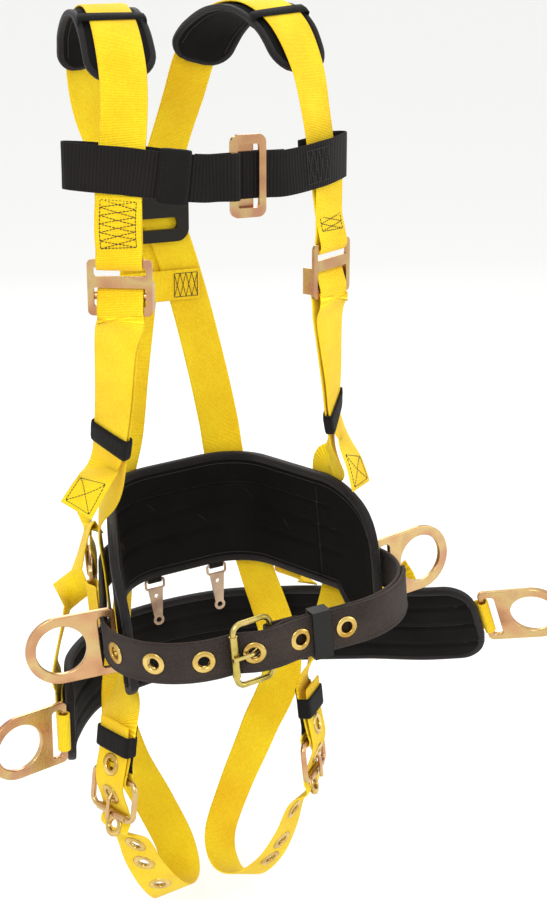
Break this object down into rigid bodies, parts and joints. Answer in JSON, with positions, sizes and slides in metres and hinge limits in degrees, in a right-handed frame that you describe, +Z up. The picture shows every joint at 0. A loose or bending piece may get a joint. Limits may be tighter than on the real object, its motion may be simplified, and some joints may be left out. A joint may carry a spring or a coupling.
{
  "type": "safety harness",
  "caption": "Full-body fall-arrest and positioning harness of yellow webbing with shoulder pads, chest strap, padded waist belt, side and back D-rings, leg straps and a seat sling.",
  "frame": {"origin": "where the wearer's shoulders carry the harness: the middle of the line between the tops of the two shoulder pads", "axes": "+Z up, the wearer faces -Y, +X towards the wearer's left"},
  "size_m": [0.6463, 0.3533, 0.9794],
  "materials": {
    "yellow_webbing": "woven polyester webbing, golden yellow",
    "black_webbing": "ribbed black polyester webbing",
    "belt_webbing": "heavy charcoal woven belt webbing",
    "pad_cloth": "black nylon over foam, bound edges",
    "elastic": "black woven elastic",
    "moulded_keeper": "black moulded keeper",
    "moulded_plate": "black moulded plastic",
    "brass_eyelet": "rolled brass eyelets",
    "hook_steel": "plated sprung steel",
    "zinc_plated_steel": "yellow zinc chromate over forged steel"
  },
  "bodies": {
    "harness": {"back_cross_strap": "yellow_webbing", "back_web_L": "yellow_webbing", "back_web_R": "yellow_webbing", "belt_buckle_frame": "zinc_plated_steel", "belt_grommets": "brass_eyelet", "chest_buckle_bar": "zinc_plated_steel", "chest_keeper": "elastic", "chest_strap_L": "black_webbing", "chest_strap_R": "black_webbing", "dorsal_plate": "moulded_plate", "dorsal_ring_loop": "black_webbing", "hanger_d_ring_L": "zinc_plated_steel", "hanger_d_ring_R": "zinc_plated_steel", "hanger_ring_loops": "yellow_webbing", "hanger_web_L": "yellow_webbing", "hanger_web_R": "yellow_webbing", "leg_buckle_L_frame": "zinc_plated_steel", "leg_buckle_R_frame": "zinc_plated_steel", "leg_grommets_L": "brass_eyelet", "leg_grommets_R": "brass_eyelet", "leg_keeper_L": "elastic", "leg_keeper_R": "elastic", "leg_web_L": "yellow_webbing", "leg_web_R": "yellow_webbing", "lumbar_pad": "pad_cloth", "seat_sling_pad": "pad_cloth", "seat_sling_web": "yellow_webbing", "shoulder_pad_L": "pad_cloth", "shoulder_pad_R": "pad_cloth", "shoulder_pad_keeper_L": "elastic", "shoulder_pad_keeper_R": "elastic", "shoulder_web_L": "yellow_webbing", "shoulder_web_R": "yellow_webbing", "tool_hook_tabs": "black_webbing", "torso_adjuster_frame_L": "zinc_plated_steel", "torso_adjuster_frame_R": "zinc_plated_steel", "torso_keeper_L": "elastic", "torso_keeper_R": "elastic", "torso_web_L": "yellow_webbing", "torso_web_R": "yellow_webbing", "torso_web_tail_L": "yellow_webbing", "torso_web_tail_R": "yellow_webbing", "waist_belt": "belt_webbing"},
    "hip_ring_R": {"hip_d_ring_R": "zinc_plated_steel"},
    "hip_ring_L": {"hip_d_ring_L": "zinc_plated_steel"},
    "seat_ring_R": {"seat_d_ring_R": "zinc_plated_steel"},
    "seat_ring_L": {"seat_d_ring_L": "zinc_plated_steel"},
    "dorsal_ring": {"dorsal_d_ring": "zinc_plated_steel"},
    "belt_buckle_tongue": {"belt_buckle_tongue": "zinc_plated_steel"},
    "belt_buckle_roller": {"belt_buckle_roller": "zinc_plated_steel"},
    "leg_buckle_R_tongue": {"leg_buckle_R_tongue": "zinc_plated_steel"},
    "leg_buckle_R_roller": {"leg_buckle_R_roller": "zinc_plated_steel"},
    "adjuster_bar_R": {"torso_adjuster_bar_R": "zinc_plated_steel"},
    "tool_hook_R": {"tool_hook_R": "hook_steel"},
    "leg_buckle_L_tongue": {"leg_buckle_L_tongue": "zinc_plated_steel"},
    "leg_buckle_L_roller": {"leg_buckle_L_roller": "zinc_plated_steel"},
    "adjuster_bar_L": {"torso_adjuster_bar_L": "zinc_plated_steel"},
    "tool_hook_L": {"tool_hook_L": "hook_steel"},
    "chest_frame": {"chest_buckle_frame": "zinc_plated_steel"},
    "belt_keeper": {"belt_keeper": "moulded_keeper"}
  },
  "joints": [
    {"name": "hip_ring_swing_R", "type": "hinge", "parent": "harness", "child": "hip_ring_R", "pos_m": [-0.13396, -0.07006, -0.61391], "axis": [-0.0872, 0, 0.9962], "range_deg": [-35, 35]},
    {"name": "hip_ring_swing_L", "type": "hinge", "parent": "harness", "child": "hip_ring_L", "pos_m": [0.18396, -0.07006, -0.58609], "axis": [-0.0872, 0, 0.9962], "range_deg": [-35, 35]},
    {"name": "seat_ring_swing_R", "type": "hinge", "parent": "harness", "child": "seat_ring_R", "pos_m": [-0.16031, 0.00158, -0.7425], "axis": [-0.0149, -0.0532, 0.9985], "range_deg": [-40, 70]},
    {"name": "seat_ring_swing_L", "type": "hinge", "parent": "harness", "child": "seat_ring_L", "pos_m": [0.32518, -0.0497, -0.67325], "axis": [-0.3826, -0.1591, 0.9101], "range_deg": [-60, 60]},
    {"name": "dorsal_ring_lift", "type": "hinge", "parent": "harness", "child": "dorsal_ring", "pos_m": [0, 0.142, -0.197], "axis": [1, 0, 0], "range_deg": [0, 150]},
    {"name": "belt_buckle_tongue_lift", "type": "hinge", "parent": "harness", "child": "belt_buckle_tongue", "pos_m": [0.00508, -0.171, -0.60174], "axis": [-0.0872, 0, 0.9962], "range_deg": [0, 3]},
    {"name": "belt_buckle_roller_spin", "type": "hinge", "parent": "harness", "child": "belt_buckle_roller", "pos_m": [-0.03637, -0.17675, -0.60537], "axis": [0.0872, 0, -0.9962], "continuous": true},
    {"name": "leg_buckle_R_tongue_lift", "type": "hinge", "parent": "harness", "child": "leg_buckle_R_tongue", "pos_m": [-0.127, -0.068, -0.768], "axis": [-0.3406, 0.9401, 0.0121], "range_deg": [0, 3]},
    {"name": "leg_buckle_R_roller_spin", "type": "hinge", "parent": "harness", "child": "leg_buckle_R_roller", "pos_m": [-0.13188, -0.06923, -0.8097], "axis": [0.3406, -0.9401, -0.0121], "continuous": true},
    {"name": "adjuster_bar_slide_R", "type": "slide", "parent": "harness", "child": "adjuster_bar_R", "axis": [0, 0, 1], "range_m": [-0.0015, 0.0015]},
    {"name": "tool_hook_R_swing", "type": "hinge", "parent": "harness", "child": "tool_hook_R", "pos_m": [-0.0098, 0.1239, -0.63818], "axis": [0.9962, 0, 0.0872], "range_deg": [-25, 8]},
    {"name": "leg_buckle_L_tongue_lift", "type": "hinge", "parent": "harness", "child": "leg_buckle_L_tongue", "pos_m": [0.099, -0.068, -0.768], "axis": [-0.6723, -0.739, 0.0431], "range_deg": [0, 3]},
    {"name": "leg_buckle_L_roller_spin", "type": "hinge", "parent": "harness", "child": "leg_buckle_L_roller", "pos_m": [0.1015, -0.0727, -0.80966], "axis": [0.6723, 0.739, -0.0431], "continuous": true},
    {"name": "adjuster_bar_slide_L", "type": "slide", "parent": "harness", "child": "adjuster_bar_L", "axis": [0, 0, 1], "range_m": [-0.0015, 0.0015]},
    {"name": "tool_hook_L_swing", "type": "hinge", "parent": "harness", "child": "tool_hook_L", "pos_m": [0.06591, 0.1239, -0.63155], "axis": [0.9962, 0, 0.0872], "range_deg": [-25, 8]},
    {"name": "chest_frame_swing", "type": "hinge", "parent": "harness", "child": "chest_frame", "pos_m": [-0.014, -0.128, -0.141], "axis": [0, 0, -1], "range_deg": [0, 50]},
    {"name": "belt_keeper_slide", "type": "slide", "parent": "harness", "child": "belt_keeper", "axis": [0.9962, 0, 0.0872], "range_m": [-0.005, 0.005]}
  ]
}
